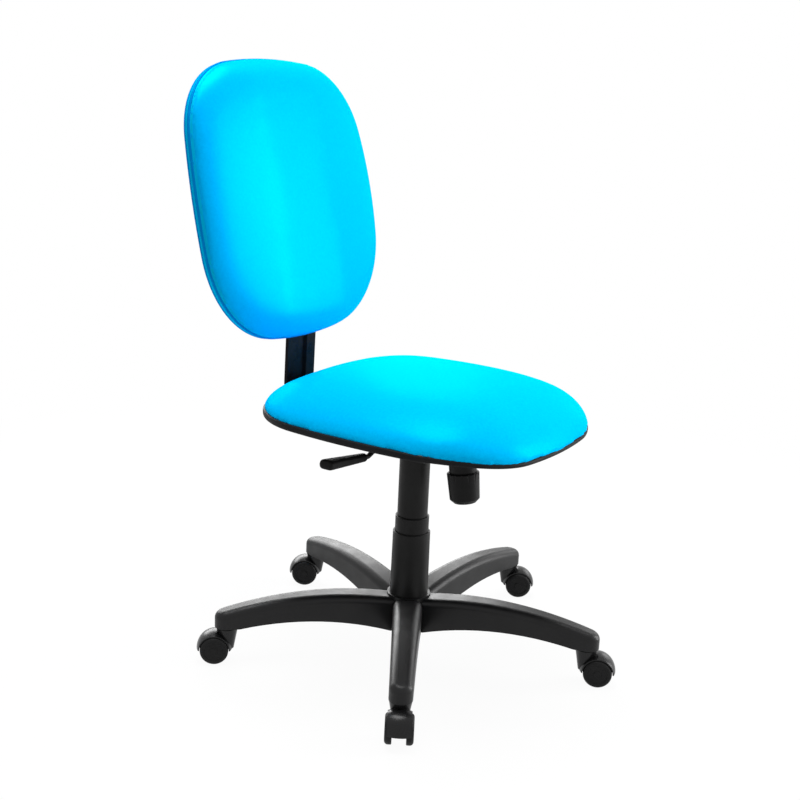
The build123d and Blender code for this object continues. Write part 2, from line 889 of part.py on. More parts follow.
with BuildPart() as spring_wound:
    with BuildLine() as spring_line:
        for quarter in range(quarters):
            start, end = spring_point(quarter / 4), spring_point((quarter + 1) / 4)
            start_heading, end_heading = spring_heading(quarter / 4), spring_heading((quarter + 1) / 4)
            joint = biarc_joint(start, start_heading, end, end_heading)
            TangentArc(start, joint, tangent=start_heading)
            TangentArc(end, joint, tangent=-end_heading)
    with BuildSketch(Plane(origin=spring_point(0), z_dir=spring_heading(0))):
        Circle(spring_wire)
    sweep(path=spring_line.wires()[0])

with BuildPart() as tension_spring:
    with Locations(knob_plane.location):
        add(spring_wound.part)
write(tension_spring, "tension_spring")

# Height lever: a bent steel rod on a pin, with a flat finger over the release pin and a moulded grip
lever_rise = sin(radians(lever_slope)) / cos(radians(lever_slope))
finger_bottom = cylinder_top + release_stand + lever_finger_gap


def lever_height(x):
    """Height of the lever rod's centre line."""
    return lever_pivot_z + (x - lever_pivot_x) * lever_rise


grip_rise = (grip_tip[1] - grip_inner[1]) / (grip_inner[0] - grip_tip[0])
rod_bend_x = (grip_inner[1] - lever_pivot_z + lever_pivot_x * lever_rise + grip_rise * grip_inner[0]) / (
    lever_rise + grip_rise
)

with BuildPart() as lever_rod:
    with BuildLine(Plane.XZ.offset(-lever_y)) as lever_line:
        FilletPolyline(
            (lever_rod_inner, lever_height(lever_rod_inner)),
            (rod_bend_x, lever_height(rod_bend_x)),
            (lever_rod_outer, grip_inner[1] + grip_rise * (grip_inner[0] - lever_rod_outer)),
            radius=lever_bend_radius,
        )
    with BuildSketch(Plane(origin=lever_line.wires()[0] @ 0, z_dir=lever_line.wires()[0] % 0)):
        Circle(lever_rod_radius)
    sweep(path=lever_line.wires()[0])
    with BuildSketch(Plane.XZ.offset(-lever_y)):
        with Locations((lever_pivot_x, lever_pivot_z)):
            Circle(lever_boss_radius)
    extrude(amount=lever_boss_half, both=True)
    with BuildSketch(Plane.XY.offset(finger_bottom)):
        with Locations((lever_finger_reach, lever_y)):
            Rectangle(
                lever_finger_reach - lever_rod_inner + lever_rod_radius,
                2 * lever_rod_radius,
                align=(Align.MAX, Align.CENTER),
            )
        with Locations((0, lever_y + lever_rod_radius)):
            Rectangle(
                2 * lever_finger_reach,
                lever_y + lever_rod_radius + release_radius + lever_finger_overlap,
                align=(Align.CENTER, Align.MAX),
            )
    extrude(amount=lever_finger)
    with BuildSketch(Plane.XZ.offset(-lever_y)):
        with Locations((lever_pivot_x, lever_pivot_z)):
            Circle(lever_pin_radius + running_play)
    extrude(amount=lever_boss_half, both=True, mode=Mode.SUBTRACT)
write(lever_rod, "lever_rod")

with BuildPart() as lever_pin:
    with BuildSketch(Plane.XZ.offset(-lever_y)):
        with Locations((lever_pivot_x, lever_pivot_z)):
            Circle(lever_pin_radius)
    extrude(amount=lever_boss_room + lug_thickness, both=True)
write(lever_pin, "lever_pin")

grip_length = sqrt((grip_inner[0] - grip_tip[0]) ** 2 + (grip_tip[1] - grip_inner[1]) ** 2)
grip_plane = Plane(
    origin=(grip_inner[0], lever_y, grip_inner[1]),
    x_dir=(0, 1, 0),
    z_dir=(grip_tip[0] - grip_inner[0], 0, grip_tip[1] - grip_inner[1]),
)
with BuildPart() as lever_grip:
    with BuildSketch(grip_plane):
        RectangleRounded(grip_neck, grip_neck, grip_edge_round)
    with BuildSketch(grip_plane.offset(grip_length)):
        RectangleRounded(grip_width, grip_thickness, grip_edge_round)
    loft()
    fillet(faces().sort_by(Axis.X)[0].edges(), grip_end_round)
    with BuildSketch(grip_plane):
        Circle(lever_rod_radius + seat_play)
    rod_sink = (grip_inner[0] - lever_rod_outer) * grip_length / (grip_inner[0] - grip_tip[0])
    extrude(amount=rod_sink, mode=Mode.SUBTRACT)
write(lever_grip, "lever_grip")


def outline(half_width, front, rear, side_y, front_corner, rear_corner, rounds, share, grow):
    """Outline of four shallow arcs with round corners, at a share of its size and grown outwards."""
    front_x, front_y = front_corner[0] + grow, front_corner[1] - grow
    rear_x, rear_y = rear_corner[0] + grow, rear_corner[1] + grow
    front_round, rear_round = rounds
    with BuildSketch() as drawn:
        with BuildLine():
            ThreePointArc((-front_x, front_y), (0, front - grow), (front_x, front_y))
            ThreePointArc((front_x, front_y), (half_width + grow, side_y), (rear_x, rear_y))
            ThreePointArc((rear_x, rear_y), (0, rear + grow), (-rear_x, rear_y))
            ThreePointArc((-rear_x, rear_y), (-half_width - grow, side_y), (-front_x, front_y))
        make_face()
        fillet(drawn.vertices().group_by(Axis.Y)[0], front_round + grow)
        fillet(drawn.vertices().group_by(Axis.Y)[-1], rear_round + grow)
    middle = Location((0, side_y, 0))
    return middle * scale(middle.inverse() * drawn.sketch, by=share, mode=Mode.PRIVATE)


def seat_outline(share=1.0, grow=0.0):
    """Outline of the seat board, seen from above."""
    return outline(
        seat_half_width,
        seat_front,
        seat_rear,
        seat_side_y,
        (seat_half_width - seat_side_sag, seat_front + seat_end_sag),
        (seat_half_width - seat_side_sag, seat_rear - seat_end_sag),
        (seat_corner_front, seat_corner_rear),
        share,
        grow,
    )


def seat_layer(low, high):
    """Side view of a layer of the seat between two heights, bent down at the front."""
    reach = radians(board_bend_reach)
    centre_z = board_top - board_bend_radius
    with BuildSketch() as layer:
        with BuildLine():
            for height in (low, high):
                radius = board_bend_radius + height - board_top
                Line((2 * seat_rear, height), (board_bend_y, height))
                ThreePointArc(
                    (board_bend_y, height),
                    (board_bend_y - radius * sin(reach / 2), centre_z + radius * cos(reach / 2)),
                    (board_bend_y - radius * sin(reach), centre_z + radius * cos(reach)),
                )
            Line((2 * seat_rear, low), (2 * seat_rear, high))
            low_radius, high_radius = [board_bend_radius + height - board_top for height in (low, high)]
            Line(
                (board_bend_y - low_radius * sin(reach), centre_z + low_radius * cos(reach)),
                (board_bend_y - high_radius * sin(reach), centre_z + high_radius * cos(reach)),
            )
        make_face()
    return layer.sketch


blade_screws = [(side * blade_screw_x, y) for side in (-1, 1) for y in blade_screw_y]
arm_nuts = [(side * arm_nut_x, y) for side in (-1, 1) for y in arm_nut_y]
seat_nuts = plate_screws + blade_screws + arm_nuts

# Seat: moulded plywood board with an edge trim, an underside lining and a crowned cushion
with BuildPart() as seat_board:
    with BuildSketch(Plane.YZ):
        add(seat_layer(board_bottom, board_top))
    extrude(amount=seat_half_width, both=True)
    with BuildSketch():
        add(seat_outline())
    extrude(amount=2 * board_top, mode=Mode.INTERSECT)
    with BuildSketch(Plane.XY.offset(board_bottom)):
        with Locations(*seat_nuts):
            Circle(nut_radius + seat_play)
    extrude(amount=board_thickness, mode=Mode.SUBTRACT)
    with BuildSketch(Plane.XY.offset(board_top - nut_flange)):
        with Locations(*seat_nuts):
            Circle(nut_flange_radius + soft_room)
    extrude(amount=nut_flange, mode=Mode.SUBTRACT)
write(seat_board, "seat_board")

with BuildPart() as seat_trim:
    with BuildSketch(Plane.YZ):
        add(seat_layer(board_bottom - trim_lip, board_top + trim_lip / 2))
    extrude(amount=2 * seat_half_width, both=True)
    with BuildSketch():
        add(seat_outline(grow=trim_thickness))
    extrude(amount=2 * board_top, mode=Mode.INTERSECT)
    with BuildSketch():
        add(seat_outline(grow=skin_room))
    extrude(amount=2 * board_top, mode=Mode.SUBTRACT)
    # Notch over the back blade
    with BuildSketch(Plane.XY.offset(board_bottom - blade_thickness)):
        with Locations((0, seat_rear)):
            Rectangle(blade_width + 2 * slot_room, 8 * trim_thickness)
    extrude(amount=blade_thickness + skin_room, mode=Mode.SUBTRACT)
write(seat_trim, "seat_trim")

with BuildPart() as seat_lining:
    with BuildSketch(Plane.YZ):
        add(seat_layer(board_bottom - lining_thickness, board_bottom - skin_room))
    extrude(amount=seat_half_width, both=True)
    with BuildSketch():
        add(seat_outline(lining_share))
        with Locations((0, (plate_front + plate_rear) / 2)):
            Rectangle(
                2 * (plate_half_width + lining_room),
                plate_rear - plate_front + 2 * lining_room,
                mode=Mode.SUBTRACT,
            )
        with Locations((0, blade_front - lining_room)):
            Rectangle(
                blade_width + 2 * lining_room,
                seat_rear,
                align=(Align.CENTER, Align.MIN),
                mode=Mode.SUBTRACT,
            )
        with Locations(*arm_nuts):
            Circle(nut_flange_radius, mode=Mode.SUBTRACT)
    extrude(amount=2 * board_top, mode=Mode.INTERSECT)
write(seat_lining, "seat_lining")

# A cushion is drawn in at its seam, swells above it and is crowned: pairs of rise and share of the outline
cushion_shape = [(-0.42, cushion_seam), (0, cushion_seam)]
for angle in (8, 22, 36, 50, 62, 72, 80, 85):
    swell = cushion_swell * cos(radians(angle)) ** cushion_squareness
    cushion_shape.append((sin(radians(angle)) / sin(radians(85)), swell))

with BuildPart() as seat_cushion:
    for rise, share in cushion_shape:
        with BuildSketch(Plane.XY.offset(board_top + rise * seat_crown)):
            add(seat_outline(share))
    loft(ruled=True)
    with BuildSketch(Plane.YZ):
        add(seat_layer(board_bottom - seat_crown, board_top + soft_room))
    extrude(amount=2 * seat_half_width, both=True, mode=Mode.SUBTRACT)
write(seat_cushion, "seat_cushion")

# Backrest: curved board with an edge trim, a crowned front cushion and a padded rear cover
lean_sin, lean_cos = sin(radians(back_lean)), cos(radians(back_lean))
back_plane = Plane(origin=(0, back_y, back_z), x_dir=(1, 0, 0), z_dir=(0, -lean_cos, lean_sin))
back_side = Plane(origin=(0, back_y, back_z), x_dir=(0, lean_sin, lean_cos), z_dir=(1, 0, 0))
back_board_front = back_board_rear + back_board_thickness


def back_outline(share=1.0, grow=0.0):
    """Outline of the back board, seen square on, with its lower edge at zero height."""
    return outline(
        back_half_width,
        0,
        back_height,
        back_side_v,
        back_bottom_corner,
        back_top_corner,
        (back_corner_bottom, back_corner_top),
        share,
        grow,
    )


def back_layer(low, high):
    """Side view of a layer of the backrest between two depths, bowed towards the sitter."""
    margin = back_height / 8
    ends = (-margin, back_height + margin)
    with BuildSketch() as layer:
        with BuildLine():
            for depth in (low, high):
                first, last = [(end, lumbar_depth(end) + depth) for end in ends]
                ThreePointArc(first, (back_height / 2, depth), last)
            for end in ends:
                Line((end, lumbar_depth(end) + low), (end, lumbar_depth(end) + high))
        make_face()
    return layer.sketch


def lumbar_depth(height):
    """Depth of the backrest's bowed middle surface behind its foremost line."""
    return sqrt(lumbar_radius**2 - (height - back_height / 2) ** 2) - lumbar_radius


# The blade's upper end lies straight against the bowed board, touching it at both ends
blade_low = (blade_upper_start, lumbar_depth(blade_upper_start) + back_board_rear)
blade_high = (blade_upper_end, lumbar_depth(blade_upper_end) + back_board_rear)
blade_low_point = back_side.from_local_coords(Vector(*blade_low))
blade_high_point = back_side.from_local_coords(Vector(*blade_high))
blade_up = (blade_high_point - blade_low_point).normalized()
blade_face = Plane(origin=blade_low_point, x_dir=(1, 0, 0), z_dir=Vector(1, 0, 0).cross(blade_up))
back_screws = [
    (side * blade_screw_x, v - blade_upper_start) for side in (-1, 1) for v in back_screw_v
]

with BuildPart() as back_board:
    with BuildSketch(back_side):
        add(back_layer(back_board_rear, back_board_front))
    extrude(amount=back_half_width, both=True)
    with BuildSketch(back_plane.offset(-back_height / 2)):
        add(back_outline())
    extrude(amount=back_height, mode=Mode.INTERSECT)
    with BuildSketch(blade_face.offset(-back_board_thickness)):
        with Locations(*back_screws):
            Circle(nut_radius + seat_play)
    extrude(amount=3 * back_board_thickness, mode=Mode.SUBTRACT)
    nut_face = blade_face.offset(back_board_thickness - nut_flange)
    with BuildSketch(nut_face):
        with Locations(*back_screws):
            Circle(nut_flange_radius + soft_room)
    extrude(amount=back_board_thickness, mode=Mode.SUBTRACT)
write(back_board, "back_board")

with BuildPart() as back_trim:
    with BuildSketch(back_side):
        add(back_layer(back_trim_rear, back_board_front + trim_lip / 2))
    extrude(amount=2 * back_half_width, both=True)
    with BuildSketch(back_plane.offset(-back_height / 2)):
        add(back_outline(grow=trim_thickness))
    extrude(amount=back_height, mode=Mode.INTERSECT)
    with BuildSketch(back_plane.offset(-back_height / 2)):
        add(back_outline(grow=skin_room))
    extrude(amount=back_height, mode=Mode.SUBTRACT)
    # Slot where the blade comes out at the foot of the back
    with BuildSketch(blade_face):
        Rectangle(blade_width + 2 * slot_room, back_height / 4)
    extrude(amount=-back_height / 4, mode=Mode.SUBTRACT)
write(back_trim, "back_trim")

with BuildPart() as back_cushion:
    for rise, share in cushion_shape:
        depth = back_board_front + rise * back_crown
        with BuildSketch(back_plane.offset(depth)):
            add(back_outline(share))
    loft(ruled=True)
    with BuildSketch(back_side):
        add(back_layer(-back_height / 2, back_board_front + soft_room))
    extrude(amount=2 * back_half_width, both=True, mode=Mode.SUBTRACT)
write(back_cushion, "back_cushion")

with BuildPart() as back_rear_cover:
    for rise, share in cushion_shape:
        depth = back_board_rear - (rise * back_rear_crown) - lumbar_drop
        with BuildSketch(back_plane.offset(depth)):
            add(back_outline(share))
    loft(ruled=True)
    with BuildSketch(back_side):
        add(back_layer(back_board_rear - soft_room, back_height / 2))
    extrude(amount=2 * back_half_width, both=True, mode=Mode.SUBTRACT)
    # Pocket for the blade and its screws, open at the foot
    with BuildSketch(blade_face.offset(blade_thickness)):
        with Locations((0, blade_upper_end - blade_upper_start + slot_room)):
            Rectangle(blade_width + 2 * slot_room, back_height, align=(Align.CENTER, Align.MAX))
    pocket = blade_thickness + max(blade_rib_depth, screw_head) + slot_room
    extrude(amount=-pocket - blade_thickness, mode=Mode.SUBTRACT)
    with BuildSketch(blade_face):
        Rectangle(blade_width + 2 * slot_room, foot_slot)
    extrude(amount=-foot_slot, mode=Mode.SUBTRACT)
write(back_rear_cover, "back_rear_cover")

# Back blade: one strip of steel with a pressed rib, bent up behind the seat and into the backrest
with BuildPart() as back_blade:
    seat_leg = board_bottom - blade_thickness / 2
    upper_shift = blade_face.z_dir * (-blade_thickness / 2)
    upper_low, upper_high = blade_low_point + upper_shift, blade_high_point + upper_shift
    with BuildLine(Plane.YZ) as blade_line:
        FilletPolyline(
            (blade_front, seat_leg),
            (blade_bend_y, seat_leg),
            (upper_low.Y, upper_low.Z),
            (upper_high.Y, upper_high.Z),
            radius=[blade_bend_radius, blade_knee_radius],
        )
    with BuildSketch(Plane(origin=(0, blade_front, seat_leg), x_dir=(1, 0, 0), z_dir=(0, 1, 0))):
        Rectangle(blade_width, blade_thickness)
        with Locations((0, blade_thickness / 2)):
            Trapezoid(
                blade_rib_width, blade_rib_depth, blade_rib_slope, align=(Align.CENTER, Align.MIN)
            )
        with Locations((0, -blade_thickness / 2)):
            Trapezoid(
                blade_rib_width - blade_rib_draw,
                blade_rib_depth,
                blade_rib_slope,
                align=(Align.CENTER, Align.MIN),
                mode=Mode.SUBTRACT,
            )
    sweep(path=blade_line.wires()[0])
    with BuildSketch(Plane.XY.offset(board_bottom - 3 * blade_thickness)):
        with Locations(*blade_screws):
            Circle(screw_radius + screw_room)
    extrude(amount=4 * blade_thickness, mode=Mode.SUBTRACT)
    with BuildSketch(blade_face):
        with Locations(*back_screws):
            Circle(screw_radius + screw_room)
    extrude(amount=-3 * blade_thickness, mode=Mode.SUBTRACT)
write(back_blade, "back_blade")

# Screws and T-nuts that hold the plate, the blade and any armrests to the two boards
screw_seats = [(Plane.XY.offset(plate_under), plate_screws, sheet)]
screw_seats += [(Plane.XY.offset(board_bottom - blade_thickness), blade_screws, blade_thickness)]
screw_seats += [(blade_face.offset(-blade_thickness), back_screws, blade_thickness)]
with BuildPart() as panel_screws:
    for plane, places, grip in screw_seats:
        with BuildSketch(plane):
            with Locations(*places):
                Circle(screw_radius - screw_thread_gap)
        extrude(amount=grip + board_thickness - nut_flange - screw_short)
        with BuildSketch(plane):
            with Locations(*places):
                RegularPolygon(screw_head_radius, 6)
        extrude(amount=-screw_head)
write(panel_screws, "panel_screws")

with BuildPart() as panel_tnuts:
    for plane, places, thickness in (
        (Plane.XY.offset(board_bottom), seat_nuts, board_thickness),
        (blade_face, back_screws, back_board_thickness),
    ):
        with BuildSketch(plane):
            with Locations(*places):
                Circle(nut_radius)
                Circle(screw_radius, mode=Mode.SUBTRACT)
        extrude(amount=thickness)
        with BuildSketch(plane.offset(thickness - nut_flange)):
            with Locations(*places):
                Circle(nut_flange_radius)
                Circle(screw_radius, mode=Mode.SUBTRACT)
        extrude(amount=nut_flange)
write(panel_tnuts, "panel_tnuts")
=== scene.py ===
from math import cos, pi, radians, sin, sqrt

import bmesh
import bpy
import numpy as np
from mathutils import Matrix, Vector
from mathutils.geometry import convex_hull_2d


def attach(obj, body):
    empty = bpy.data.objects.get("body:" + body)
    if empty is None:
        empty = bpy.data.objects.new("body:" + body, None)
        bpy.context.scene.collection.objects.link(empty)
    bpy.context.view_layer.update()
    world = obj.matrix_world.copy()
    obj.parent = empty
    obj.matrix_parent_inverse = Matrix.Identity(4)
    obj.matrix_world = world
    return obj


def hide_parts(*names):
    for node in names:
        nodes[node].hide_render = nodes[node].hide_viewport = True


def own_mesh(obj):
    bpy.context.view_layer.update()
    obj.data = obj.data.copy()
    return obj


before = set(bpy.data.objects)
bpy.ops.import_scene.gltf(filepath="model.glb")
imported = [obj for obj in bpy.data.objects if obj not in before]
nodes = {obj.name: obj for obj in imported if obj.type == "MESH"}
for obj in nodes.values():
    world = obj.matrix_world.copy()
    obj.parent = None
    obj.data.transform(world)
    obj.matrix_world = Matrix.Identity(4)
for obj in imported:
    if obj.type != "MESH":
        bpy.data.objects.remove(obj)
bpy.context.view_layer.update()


# Star base: one injection moulding in glass-filled nylon, dyed black through and through.
# Five hollow ribbed arms meet in a hub that is wedged on the column. The mould's fine
# spark-eroded skin leaves the plastic satin, a little polished where shoes rub it.
def new_finish(name):
    """A material with its node tree, its shader and the place on the object in metres."""
    material = bpy.data.materials.new(name)
    material.use_nodes = True
    tree = material.node_tree
    place = tree.nodes.new("ShaderNodeTexCoord").outputs["Object"]
    return material, tree, tree.nodes["Principled BSDF"], place


def cloudy(tree, place, pitch, detail=4.0):
    """A noise whose patches are about so many metres across."""
    noise = tree.nodes.new("ShaderNodeTexNoise")
    noise.inputs["Scale"].default_value = 1 / pitch
    noise.inputs["Detail"].default_value = detail
    tree.links.new(place, noise.inputs["Vector"])
    return noise.outputs["Fac"]


def ramp(tree, factor, low, high, start=0.35, end=0.65):
    """A colour that runs from low to high as the factor goes from start to end."""
    colours = tree.nodes.new("ShaderNodeValToRGB")
    for stop, place, colour in zip(colours.color_ramp.elements, (start, end), (low, high)):
        stop.position = place
        stop.color = (*colour, 1)
    tree.links.new(factor, colours.inputs["Fac"])
    return colours.outputs["Color"]


def spread(tree, factor, low, high, start=0.3, end=0.7):
    """A number that runs from low to high as the factor goes from start to end."""
    scaled = tree.nodes.new("ShaderNodeMapRange")
    for socket, value in zip(("From Min", "From Max", "To Min", "To Max"), (start, end, low, high)):
        scaled.inputs[socket].default_value = value
    tree.links.new(factor, scaled.inputs["Value"])
    return scaled.outputs["Result"]


def bumped(tree, shader, height, depth, strength):
    """Raise the surface by the height, up to so many metres."""
    bump = tree.nodes.new("ShaderNodeBump")
    bump.inputs["Distance"].default_value = depth
    bump.inputs["Strength"].default_value = strength
    tree.links.new(height, bump.inputs["Height"])
    tree.links.new(bump.outputs["Normal"], shader.inputs["Normal"])


def moulded_plastic(name, dark, worn, rough, polished, grain, specular):
    """Plastic from an eroded mould: a fine even grain, faint clouding and rubbed patches."""
    material, tree, shader, place = new_finish(name)
    cloud_pitch, rub_pitch, grain_strength = 0.06, 0.025, 0.16
    clouds = cloudy(tree, place, cloud_pitch)
    tree.links.new(ramp(tree, clouds, dark, worn), shader.inputs["Base Color"])
    rubbed = cloudy(tree, place, rub_pitch, 6.0)
    tree.links.new(spread(tree, rubbed, polished, rough), shader.inputs["Roughness"])
    bumped(tree, shader, cloudy(tree, place, grain, 2.0), grain / 6, grain_strength)
    shader.inputs["Specular IOR Level"].default_value = specular
    return material


def finish(material, *names):
    """Give CAD pieces their finish."""
    for name in names:
        skin = nodes[name].data.materials
        skin.clear()
        skin.append(material)


base_nylon = moulded_plastic(
    "base_nylon", (0.005, 0.005, 0.0055), (0.008, 0.008, 0.0085),
    rough=0.46, polished=0.36, grain=0.0009, specular=0.25,
)
finish(base_nylon, "star_base")

# Casters: a hood moulded in one piece over two nylon wheels that share a steel axle.
# A grip stem pressed into the hood turns in the socket at the end of each arm.
# The hoods come out of a polished mould and are the glossiest plastic on the chair.
hood_plastic = moulded_plastic(
    "hood_plastic", (0.005, 0.005, 0.0055), (0.008, 0.008, 0.0085),
    rough=0.34, polished=0.24, grain=0.0012, specular=0.25,
)
wheel_nylon = moulded_plastic(
    "wheel_nylon", (0.006, 0.006, 0.0065), (0.011, 0.011, 0.011),
    rough=0.62, polished=0.48, grain=0.0007, specular=0.15,
)


def drawn_steel(name, colour, stained, rough, polished, grain):
    """Bare or plated steel with fine marks from drawing and turning."""
    material, tree, shader, place = new_finish(name)
    stain_pitch, mark_strength = 0.012, 0.3
    stains = cloudy(tree, place, stain_pitch, 5.0)
    tree.links.new(ramp(tree, stains, stained, colour), shader.inputs["Base Color"])
    tree.links.new(spread(tree, stains, rough, polished), shader.inputs["Roughness"])
    bumped(tree, shader, cloudy(tree, place, grain, 1.0), grain / 12, mark_strength)
    shader.inputs["Metallic"].default_value = 1.0
    return material


bright_steel = drawn_steel(
    "bright_steel", (0.56, 0.57, 0.58), (0.42, 0.43, 0.44),
    rough=0.34, polished=0.22, grain=0.0006,
)
caster_count = 5
for number in range(1, caster_count + 1):
    finish(hood_plastic, f"caster_hood_{number}")
    finish(wheel_nylon, f"wheel_left_{number}", f"wheel_right_{number}")
    finish(bright_steel, f"caster_stem_{number}", f"caster_axle_{number}")

# Column: a painted steel tube wedged in the hub, with an acetal bush that guides the gas
# cylinder and a small thrust bearing under its chromed rod. Three telescoping plastic sleeves
# hide it. Their drawn faces are satin, with faint rub lines where they slide past each other.
sleeve_plastic = moulded_plastic(
    "sleeve_plastic", (0.006, 0.006, 0.006), (0.010, 0.010, 0.010),
    rough=0.50, polished=0.40, grain=0.0010, specular=0.15,
)
finish(sleeve_plastic, "cover_lower", "cover_middle", "cover_upper")


def painted_steel(name, colour, dusty, rough, gloss, peel, specular):
    """Sprayed or powder-coated steel: a little orange peel and a thin film of dust."""
    material, tree, shader, place = new_finish(name)
    dust_pitch, peel_strength = 0.035, 0.35
    dust = cloudy(tree, place, dust_pitch, 6.0)
    tree.links.new(ramp(tree, dust, colour, dusty), shader.inputs["Base Color"])
    tree.links.new(spread(tree, dust, gloss, rough), shader.inputs["Roughness"])
    bumped(tree, shader, cloudy(tree, place, peel, 1.0), peel / 20, peel_strength)
    shader.inputs["Specular IOR Level"].default_value = specular
    return material


column_paint = painted_steel(
    "column_paint", (0.006, 0.006, 0.006), (0.012, 0.012, 0.012),
    rough=0.36, gloss=0.26, peel=0.002, specular=0.3,
)
finish(column_paint, "column_tube", "gas_cylinder")
guide_acetal = moulded_plastic(
    "guide_acetal", (0.58, 0.57, 0.53), (0.64, 0.63, 0.59),
    rough=0.46, polished=0.36, grain=0.0008, specular=0.5,
)
finish(guide_acetal, "column_bush")
finish(bright_steel, "thrust_washer_lower", "thrust_ball_cage", "thrust_washer_upper", "rod_clip")
finish(bright_steel, "release_pin")
rod_chrome = drawn_steel(
    "rod_chrome", (0.78, 0.78, 0.79), (0.70, 0.70, 0.72),
    rough=0.12, polished=0.06, grain=0.0004,
)
finish(rod_chrome, "piston_rod")
buffer_rubber = moulded_plastic(
    "buffer_rubber", (0.016, 0.016, 0.016), (0.024, 0.023, 0.022),
    rough=0.85, polished=0.70, grain=0.0006, specular=0.3,
)
finish(buffer_rubber, "rod_buffer")

# Tilt mechanism: a pressed steel trough, wedged on the gas cylinder, and a seat plate that
# rocks on its cross pin. Both are powder coated in a fine matt black.
# Pins, bolts and washers are zinc plated.
mechanism_paint = painted_steel(
    "mechanism_paint", (0.008, 0.008, 0.009), (0.016, 0.016, 0.016),
    rough=0.58, gloss=0.44, peel=0.0011, specular=0.2,
)
finish(mechanism_paint, "hub_arm", "seat_plate")
zinc = drawn_steel(
    "zinc_plate", (0.55, 0.56, 0.58), (0.40, 0.41, 0.42),
    rough=0.42, polished=0.28, grain=0.0009,
)
finish(zinc, "tilt_pin", "lever_pin", "tension_bolt", "spring_washer")


# Tension spring and knob: a coil of oiled dark wire round the bolt, which the tilting seat presses
# together, and the fluted cup under it, a black moulding that is turned by hand.
def taken_over(name, node, material):
    """A new piece with the mesh of a CAD piece, in a finish of its own."""
    piece = bpy.data.objects.new(name, nodes[node].data.copy())
    bpy.context.scene.collection.objects.link(piece)
    piece.data.materials.clear()
    piece.data.materials.append(material)
    return piece


oiled_wire = drawn_steel(
    "oiled_wire", (0.16, 0.16, 0.17), (0.09, 0.085, 0.08),
    rough=0.45, polished=0.30, grain=0.0005,
)
wound_spring = taken_over("wound_spring", "tension_spring", oiled_wire)
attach(wound_spring, "seat")
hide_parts("tension_spring")
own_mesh(wound_spring)
knob_plastic = moulded_plastic(
    "knob_plastic", (0.005, 0.005, 0.005), (0.008, 0.008, 0.008),
    rough=0.50, polished=0.40, grain=0.0010, specular=0.12,
)
finish(knob_plastic, "tension_knob")

# Height lever: a bent steel rod coated black, which rocks on a pin in the trough and presses
# the gas valve, with a flat plastic grip pushed on its end. The grip's edges are well rounded.
lever_paint = painted_steel(
    "lever_paint", (0.006, 0.006, 0.006), (0.010, 0.010, 0.010),
    rough=0.42, gloss=0.32, peel=0.0015, specular=0.25,
)
finish(lever_paint, "lever_rod")
grip_plastic = moulded_plastic(
    "grip_plastic", (0.005, 0.005, 0.005), (0.008, 0.008, 0.008),
    rough=0.55, polished=0.45, grain=0.0011, specular=0.08,
)
grip_voxel = 0.0012
grip_fill = 0.0012
grip_smoothing = 30
rounded_grip = taken_over("rounded_grip", "lever_grip", grip_plastic)
even_grip = rounded_grip.modifiers.new("even_grip", "REMESH")
even_grip.voxel_size = grip_voxel
even_grip.use_smooth_shade = True
soft_edges = rounded_grip.modifiers.new("soft_edges", "SMOOTH")
soft_edges.factor, soft_edges.iterations = 0.5, grip_smoothing
full_grip = rounded_grip.modifiers.new("full_grip", "DISPLACE")
full_grip.strength, full_grip.mid_level = grip_fill, 0.0
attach(rounded_grip, "lever")
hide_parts("lever_grip")


# Seat board: plywood veneers pressed in a mould that bends the front edge down, bare inside
# the upholstery, with steel T-nuts driven in from above for the plate, the blade and armrests.
def plywood(name):
    """Birch veneer: long grain along X with darker pores."""
    material, tree, shader, place = new_finish(name)
    stretched = tree.nodes.new("ShaderNodeMapping")
    stretched.inputs["Scale"].default_value = (0.12, 1.0, 1.0)
    tree.links.new(place, stretched.inputs["Vector"])
    grain = cloudy(tree, stretched.outputs["Vector"], 0.006, 8.0)
    tree.links.new(
        ramp(tree, grain, (0.40, 0.25, 0.12), (0.60, 0.42, 0.24)), shader.inputs["Base Color"]
    )
    tree.links.new(spread(tree, grain, 0.75, 0.60), shader.inputs["Roughness"])
    bumped(tree, shader, grain, 0.0004, 0.4)
    return material


bare_plywood = plywood("bare_plywood")
finish(bare_plywood, "seat_board", "back_board")
finish(zinc, "panel_screws", "panel_tnuts")

# Underside lining: black non-woven cloth, felt-like with loose fibres. It is cut to the board
# and stapled under it, so that no raw wood shows from below.
lining_felt, felt_tree, felt_shader, felt_place = new_finish("lining_felt")
felt_fibres = cloudy(felt_tree, felt_place, 0.0016, 6.0)
felt_tree.links.new(
    ramp(felt_tree, felt_fibres, (0.010, 0.010, 0.010), (0.030, 0.030, 0.031)),
    felt_shader.inputs["Base Color"],
)
bumped(felt_tree, felt_shader, felt_fibres, 0.0004, 0.8)
felt_shader.inputs["Roughness"].default_value = 0.95
felt_shader.inputs["Sheen Weight"].default_value = 0.1
finish(lining_felt, "seat_lining")


# Seat edging: a soft black extrusion pushed round the board's edge. It has a rounded face,
# a lip that tucks in under the cushion and another that covers the lining's staples.
def hull_outline(name, across, along, count):
    """Evenly spaced points of a CAD piece's outline, seen along the third direction."""
    flat = [Vector((v.co.dot(across), v.co.dot(along))) for v in nodes[name].data.vertices]
    rim = [flat[index] for index in convex_hull_2d(flat)]
    lengths = [(rim[i] - rim[i - 1]).length for i in range(len(rim))]
    step, points = sum(lengths) / count, []
    walked, target = 0.0, 0.0
    for i, length in enumerate(lengths):
        while target < walked + length and len(points) < count:
            points.append(rim[i - 1].lerp(rim[i], (target - walked) / length))
            target += step
        walked += length
    return points


